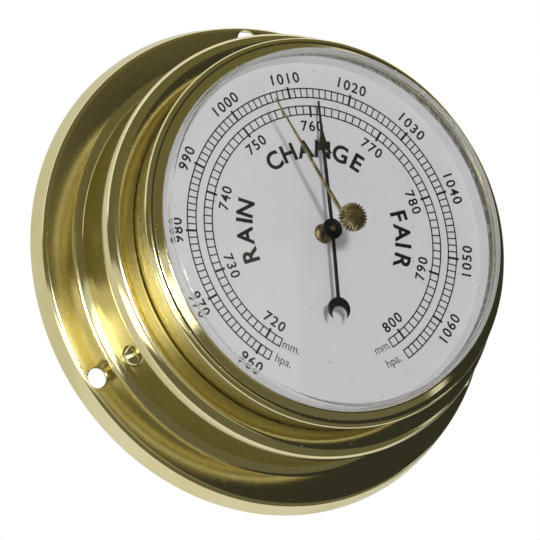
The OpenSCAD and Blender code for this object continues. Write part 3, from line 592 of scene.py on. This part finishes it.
def band(bm, radius, first, last):        # a curved stroke from one angle to another
    near, far = radius - printed["bandLine"] / 2, radius + printed["bandLine"] / 2
    low, high = printed["low"], printed["high"]
    verts = [bm.verts.new((0, y, z)) for y, z in ((near, low), (far, low), (far, high), (near, high))]
    end = bm.faces.new(verts)
    bmesh.ops.rotate(bm, cent=(0, 0, 0), matrix=Matrix.Rotation(-radians(first), 3, "Z"), verts=verts)
    bmesh.ops.spin(bm, geom=[end], cent=(0, 0, 0), axis=(0, 0, -1), angle=radians(last - first),
        steps=int((last - first) / printed["bandStep"]))


def scales():
    bm = bmesh.new()
    for s in (printed["pascal"], printed["mercury"]):
        first, last = ((s[k] - s["zero"]) * s["each"] for k in ("from", "to"))
        half = degrees(printed["tick"] / 2 / s["inner"])
        band(bm, s["inner"], first - half, last + half)
        band(bm, s["outer"], first - half, last + half)
        for value in range(s["from"], s["to"] + 1):
            numbered = value % printed["numberEach"] == 0
            out = s["outer"] + (s["reach"] if numbered and s["side"] > 0 else 0)
            into = s["inner"] - (s["reach"] if numbered and s["side"] < 0 else 0)
            wide = printed["bold"] if numbered else printed["tick"]
            bar(bm, (value - s["zero"]) * s["each"], into, out, wide)
    bmesh.ops.recalc_face_normals(bm, faces=bm.faces)
    return bm


def lettering(text, size, weight, space):        # a word as a thin mesh, with its lowest and highest corner
    curve = bpy.data.curves.new("word", "FONT")
    curve.body = text
    curve.size = size / printed["capital"]
    curve.space_character = space
    curve.offset = weight
    curve.extrude = inkThick / 2
    curve.resolution_u = printed["curveSteps"]
    thing = bpy.data.objects.new("word", curve)
    scene.collection.objects.link(thing)
    mesh = bpy.data.meshes.new_from_object(thing.evaluated_get(bpy.context.evaluated_depsgraph_get()))
    bpy.data.objects.remove(thing)
    low = [min(v.co[k] for v in mesh.vertices) for k in range(2)]
    high = [max(v.co[k] for v in mesh.vertices) for k in range(2)]
    return mesh, low, high


def legends():
    bm = bmesh.new()

    # a word with its middle at an angle and radius, its top outwards or, turned round, inwards
    def put(text, size, weight, angle, radius, outwards, capital, squeeze=1.0, space=1.0):
        mesh, low, high = lettering(text, size, weight, space)
        placed = Matrix.Rotation(-radians(angle), 4, "Z") @ Matrix.Translation((0, radius, inkMiddle))
        laid = placed @ Matrix.Rotation(0 if outwards else pi, 4, "Z") @ Matrix.Diagonal((squeeze, 1, 1, 1))
        mesh.transform(laid @ Matrix.Translation((-(low[0] + high[0]) / 2, -capital / 2, 0)))
        bm.from_mesh(mesh)
        bpy.data.meshes.remove(mesh)

    for s in (printed["pascal"], printed["mercury"]):
        for value in range(s["from"], s["to"] + 1):
            if value % printed["numberEach"]:
                continue
            angle = (value - s["zero"]) * s["each"]
            put(str(value), s["size"], printed["numberWeight"], angle, s["numbersR"], abs(angle) < 90,
                s["size"], space=printed["numberSpace"])
    size = printed["unitSize"]
    for text, angle, radius in printed["units"]:
        put(text, size, printed["unitWeight"], angle, radius, False, size * printed["capital"],
            squeeze=printed["unitWide"])
    size = printed["wordSize"]
    for text, radius, angles in printed["words"]:
        for letter, angle in zip(text, angles):
            put(letter, size, printed["wordWeight"], angle, radius, True, size)
    merged(bm, printed["joinWithin"])
    return bm


piece("dialScales", scales(), "instrument", "dialInk")
piece("dialLegends", legends(), "instrument", "dialInk")
print("dial printed")

# pressure hand
hand = {
    "hubH": 38.1, "thick": 0.45, "hubR": 2.6, "bore": 0.62, "collarR": 1.4, "collarH": 2.0, "length": 33.0,
    "angle": 1.8, "droop": 1.8, "edge": 0.07, "rod": 0.8, "rodFrom": 1.0, "needle": 0.4, "barbAt": 19.4,
    "barbDepth": 1.2, "arrow": 7.2, "arrowWide": 4.2, "arrowNeck": 0.3, "sweep": 1.8, "steps": 8,
    "tailAt": 20.1, "tailGap": 0.3, "crescentR": 2.95, "biteShare": 0.7, "biteAt": 0.48, "arcSteps": 16,
    "pinR": 0.7, "pinTop": 38.82, "pinDip": 0.12, "dipR": 0.3,
}


def plate(bm, right, thick, edge):        # a flat shape cut from sheet, given its right half
    outline = right + [(-x, y) for x, y in reversed(right) if x > weld]
    flat = bm.faces.new([bm.verts.new((x, y, 0)) for x, y in outline])
    raised = bmesh.ops.extrude_face_region(bm, geom=[flat])["geom"]
    upper = [g for g in raised if isinstance(g, bmesh.types.BMVert)]
    bmesh.ops.translate(bm, vec=(0, 0, thick), verts=upper)
    rim = [g for g in raised if isinstance(g, bmesh.types.BMEdge)]
    bmesh.ops.recalc_face_normals(bm, faces=bm.faces)
    chamfered(bm, rim, edge)


def arcPoints(radius, rise, first, last, steps):        # along a circle about (0, rise), angles in radians
    angles = [first + (last - first) * k / steps for k in range(steps + 1)]
    return [(radius * cos(a), rise + radius * sin(a)) for a in angles]


def pressureHand():
    h = hand
    front = h["barbAt"] + h["arrow"]
    halfRod, halfArrow, neck = h["rod"] / 2, h["arrowWide"] / 2, h["rod"] * h["arrowNeck"]
    flank = []
    for k in range(h["steps"] + 1):
        share = k / h["steps"]
        flank.append((neck + (halfArrow - neck) * share ** h["sweep"], front - h["arrow"] * share))
    right = [(halfRod, h["rodFrom"]), (halfRod, h["barbAt"] + h["barbDepth"]), *reversed(flank),
        (h["needle"] / 2, h["length"])]
    forward = bmesh.new()
    plate(forward, right, h["thick"], h["edge"])
    spun(forward, -atan2(h["droop"], h["length"]), "X")

    # the crescent is a disc less the smaller disc that bites into it from the end
    horn, bite, biteAt = h["crescentR"], h["crescentR"] * h["biteShare"], h["crescentR"] * h["biteAt"]
    tipY = -(biteAt ** 2 + horn ** 2 - bite ** 2) / (2 * biteAt)
    tipX = sqrt(horn ** 2 - tipY ** 2)
    around = arcPoints(horn, 0, atan2(tipY, tipX), pi / 2, h["arcSteps"])
    within = arcPoints(bite, -biteAt, atan2(tipY + biteAt, tipX), pi / 2, h["arcSteps"])[1:]
    side = [(x, y - h["tailAt"]) for x, y in around if x > halfRod]
    hollow = [(x, y - h["tailAt"]) for x, y in within]
    right = [(halfRod, -h["rodFrom"]), (halfRod, side[-1][1] + h["tailGap"]), *reversed(side), *hollow]
    tail = bmesh.new()
    plate(tail, right, h["thick"], h["edge"])

    bm = turned([(h["bore"], -h["collarH"]), (h["collarR"], -h["collarH"], 0.1), (h["collarR"], 0),
        (h["hubR"], 0, 0.08), (h["hubR"], h["thick"], 0.1), (h["bore"], h["thick"])], steps=96)
    absorb(bm, forward)
    absorb(bm, tail)
    spun(bm, -radians(h["angle"]), "Z")
    bmesh.ops.translate(bm, vec=(0, 0, h["hubH"]), verts=bm.verts)
    return bm


def handPin():
    h = hand
    top, foot = h["pinTop"], h["hubH"] + h["thick"] + face["lift"]
    return turned([(0, top - h["pinDip"]), (0.2, top - 0.1, 0.1), (h["dipR"], top, 0.05),
        (h["pinR"], top, 0.08), (h["pinR"], foot, 0.02), (0, foot)], steps=48)


piece("pressureHand", pressureHand(), "pressure_pointer", "handBlack", ["pressure_hand"])
piece("handPin", handPin(), "pressure_pointer", "bronzedBrass")
print("pressure hand made")

# set hand, its bush and knob
setter = {
    "angle": 23.7, "top": 46.0, "length": 34.5, "from": 0.8, "wide": 0.95, "tip": 0.34, "thick": 0.55,
    "tipThin": 0.55, "side": 0.86, "droop": 3.485, "hubR": 1.65, "edge": 0.08, "arborR": 0.75,
    "turnGap": 0.04, "arborGap": 0.02, "arborIn": 0.1, "washer": 0.15,
    "bushR": 1.55, "bushUnder": 0.1, "brimR": 2.15, "brimH": 0.25,
    "knobR": 3.5, "knobLow": 48.53, "knobTall": 2.1, "knobEdge": 0.07, "teeth": 24, "toothDepth": 0.75,
    "toothLine": (0.0, 0.0, 0.32, 1.0, 1.0, 0.32),        # how deep each point of a tooth lies, as a share
}


def setHand():
    s = setter
    half = s["wide"] / 2
    ridge, side = s["thick"], s["thick"] * s["side"]
    bm = bmesh.new()
    section = [(-half, 0), (-half, side), (0, ridge), (half, side), (half, 0)]
    root = bm.faces.new([bm.verts.new((x, s["from"], z)) for x, z in section])
    drawn = bmesh.ops.extrude_face_region(bm, geom=[root])["geom"]
    far = [g for g in drawn if isinstance(g, bmesh.types.BMVert)]
    bmesh.ops.scale(bm, vec=(s["tip"] / s["wide"], 1, s["tipThin"]), verts=far)
    bmesh.ops.translate(bm, vec=(0, s["length"] - s["from"], 0), verts=far)
    bmesh.ops.recalc_face_normals(bm, faces=bm.faces)
    spun(bm, -atan2(s["droop"], s["length"]), "X")
    spun(bm, radians(s["angle"]), "Z")
    absorb(bm, turned([(s["arborR"], 0), (s["hubR"], 0, s["edge"]), (s["hubR"], s["thick"], s["edge"]),
        (s["arborR"], s["thick"])], steps=64))
    bmesh.ops.translate(bm, vec=(0, 0, s["top"] - s["thick"]), verts=bm.verts)
    return bm


def setBush():
    s = setter
    low, top = dome["top"] - dome["thick"] - s["bushUnder"], dome["top"]
    bore, brim = s["arborR"] + s["turnGap"], top + s["brimH"]
    return turned([(bore, low), (s["bushR"], low, 0.05), (s["bushR"], top + face["lift"]),
        (s["brimR"], top + face["lift"], 0.03), (s["brimR"], brim, 0.06), (bore, brim)], steps=64)


def setKnob():
    s = setter
    bm = bmesh.new()
    line = s["toothLine"]
    count = s["teeth"] * len(line)
    made = bmesh.ops.create_circle(bm, cap_ends=False, radius=s["knobR"], segments=count)["verts"]
    for k, vert in enumerate(made):        # teeth cut with a straight coarse knurl
        vert.co *= 1 - line[k % len(line)] * s["toothDepth"] / s["knobR"]
    raised = bmesh.ops.extrude_face_region(bm, geom=[bm.faces.new(made)])["geom"]
    upper = [g for g in raised if isinstance(g, bmesh.types.BMVert)]
    bmesh.ops.translate(bm, vec=(0, 0, s["knobTall"]), verts=upper)
    bmesh.ops.recalc_face_normals(bm, faces=bm.faces)
    level = [e for e in bm.edges if abs(e.verts[0].co.z - e.verts[1].co.z) < 0.01]
    chamfered(bm, level, s["knobEdge"])
    bmesh.ops.translate(bm, vec=(0, 0, s["knobLow"]), verts=bm.verts)
    arbor, top = s["arborR"] - s["arborGap"], s["knobLow"] + s["arborIn"]
    foot = s["top"] - s["thick"] - s["washer"]
    absorb(bm, turned([(0, foot), (arbor, foot, 0.1), (arbor, top), (0, top)], steps=48))
    return bm


piece("setHand", setHand(), "set_pointer", "agedBrass", ["set_hand"])
piece("setBush", setBush(), "instrument", "polishedBrass", ["set_bush"])
piece("setKnob", setKnob(), "set_pointer", "agedBrass", ["set_knob"], 25)
print("set hand and knob made")

# the CAD's own pieces get their finish
wears = {
    "brushedBrass": ["case"],
    "movementBrass": ["movement_feet", "base_plate", "pillars", "bridge", "top_plate", "plate_spacers",
        "leaf_block", "rocker_brackets", "sector_gear", "hairspring_stud", "dial_seat"],
    "turnedSteel": ["movement_screws", "plate_screws", "leaf_screws", "capsule_leaf", "setting_screw",
        "rocking_shaft", "sector_arbor", "hand_arbor", "hairspring", "set_washer"],
    "nickelPlate": ["capsule_lower", "capsule_upper", "capsule_stud"],
    "gasketRubber": ["gasket"],
}
for finish, names in wears.items():
    for name in names:
        for slot in nodes[name].material_slots:
            slot.material = finishes[finish]
print("movement finished")

# the studio: a pale floor, one key lamp, and cards that only metal and glass reflect
studio = {
    "floorAt": -0.42,
    "floorHalf": 3,
    "floorTone": rgb(0.82, 0.82, 0.82),
    "floorGlow": 0.3,
    "worldLight": 0.45,
    "key": {"aim": (-12, 2), "far": 0.9, "size": 0.1, "power": 4.5},
    # each card: degrees right of the front, distance, width, lowest and highest edge in degrees, colour, glow
    "cards": {
        "cardLeftLow": (-90, 0.95, 150, -33, 4, (0.65, 0.65, 0.60), 1.0),
        "cardLeftBright": (-68, 0.8, 66, -30, -7, (1.0, 1.0, 0.97), 2.2),
        "cardLeftHigh": (-75, 1.0, 96, 4, 24, (0.142, 0.13, 0.065), 1.0),
        "cardFront": (0, 1.1, 36, -42, 12, (0.36, 0.33, 0.20), 1.0),
        "cardFrontHigh": (0, 1.05, 60, 10, 24, (0.142, 0.13, 0.065), 1.0),
        "cardRight": (59, 0.85, 90, -60, 27, (0.035, 0.036, 0.03), 1.0),
        "cardRightFar": (125, 0.8, 46, -60, 6, (0.035, 0.036, 0.03), 1.0),
        "cardRightHigh": (116, 0.75, 88, 28, 44, (1.0, 1.0, 1.0), 1.1),
        "cardRightBack": (128, 0.78, 50, 8, 30, (1.0, 1.0, 1.0), 1.1),
        "cardBehind": (180, 0.5, 130, -64, 64, (0.65, 0.65, 0.60), 1.0),
    },
    "behindGlass": ("cardBehind", "cardRightFar"),        # the crystal shows the white world instead
    # the two level cards: height, half width, nearest and farthest edge, colour and glow
    "levels": {
        "cardAbove": (0.62, 1.6, -1.6, 0.05, (0.142, 0.13, 0.065), 1.0),
        "cardBelow": (-0.41, 0.7, -1.2, 0.1, (0.14, 0.135, 0.09), 1.0),
    },
}


def seenOrGlossy(wire):        # 1 where the camera, a mirror or glass looks, else 0
    rays = ("Is Camera Ray", "Is Glossy Ray", "Is Transmission Ray")
    seen, glossy, through = (wire.node("LightPath", {}, {}, k) for k in rays)
    return seen.maths("MINIMUM", seen + glossy + through, 1.0)


def plainMaterial(name, colour, glow=0.0, seenGlow=0.0):
    f = Finish(name, Roughness=0.9, **{"Base Color": colour})
    if seenGlow:        # paler where it is looked at, with the shadows kept and no light given off
        f.feed("Emission Color", seenOrGlossy(f.wire) * seenGlow)
        f.shader.inputs["Emission Strength"].default_value = 1.0
    if glow:
        f.shader.inputs["Emission Color"].default_value = colour
        f.shader.inputs["Emission Strength"].default_value = glow
        f.shader.inputs["Base Color"].default_value = rgb(0, 0, 0)
        f.shader.inputs["Specular IOR Level"].default_value = 0.0
    return f.material


world = bpy.data.worlds.new("studioWorld")
scene.world = world
world.use_nodes = True
background = next(n for n in world.node_tree.nodes if n.type == "BACKGROUND")
background.inputs["Color"].default_value = rgb(1, 1, 1)
seen = seenOrGlossy(Wire(world.node_tree))
strength = seen * (1 - studio["worldLight"]) + studio["worldLight"]
world.node_tree.links.new(strength.socket, background.inputs["Strength"])


def sheet(name, corners, material):        # one flat stage piece
    bm = bmesh.new()
    bm.faces.new([bm.verts.new(c) for c in corners])
    mesh = bpy.data.meshes.new(name)
    bm.to_mesh(mesh)
    bm.free()
    made = bpy.data.objects.new(name, mesh)
    scene.collection.objects.link(made)
    mesh.materials.append(material)
    return made


def card(name, corners, tone, glow):
    made = sheet(name, corners, plainMaterial(name, rgb(*tone), glow))
    made.visible_camera = False
    made.visible_diffuse = False
    made.visible_shadow = False
    made.visible_transmission = name not in studio["behindGlass"]


half, low = studio["floorHalf"], studio["floorAt"]
paper = plainMaterial("floorPaper", studio["floorTone"], seenGlow=studio["floorGlow"])
sheet("floor", [(-half, -half, low), (half, -half, low), (half, half, low), (-half, half, low)], paper)
for name, (turn, far, wide, bottom, top, tone, glow) in studio["cards"].items():
    half = far * tan(radians(wide / 2))
    low, high = (far * tan(radians(a)) for a in (bottom, top))
    spin = Matrix.Rotation(radians(turn), 3, "Z")
    corners = [(-half, -far, low), (half, -far, low), (half, -far, high), (-half, -far, high)]
    card(name, [spin @ Vector(c) for c in corners], tone, glow)
for name, (high, half, near, away, tone, glow) in studio["levels"].items():
    corners = [(-half, near, high), (half, near, high), (half, away, high), (-half, away, high)]
    card(name, corners, tone, glow)
key = studio["key"]
lamp = bpy.data.objects.new("keyLamp", bpy.data.lights.new("keyLamp", "AREA"))
lamp.data.energy = key["power"]
lamp.data.size = key["size"]
side, up = (radians(a) for a in key["aim"])
towards = Vector((sin(side) * cos(up), -cos(side) * cos(up), sin(up)))
lamp.location = towards * key["far"]
lamp.rotation_euler = towards.to_track_quat("Z", "Y").to_euler()
scene.collection.objects.link(lamp)

scene.view_settings.view_transform = "Standard"
print("studio set")
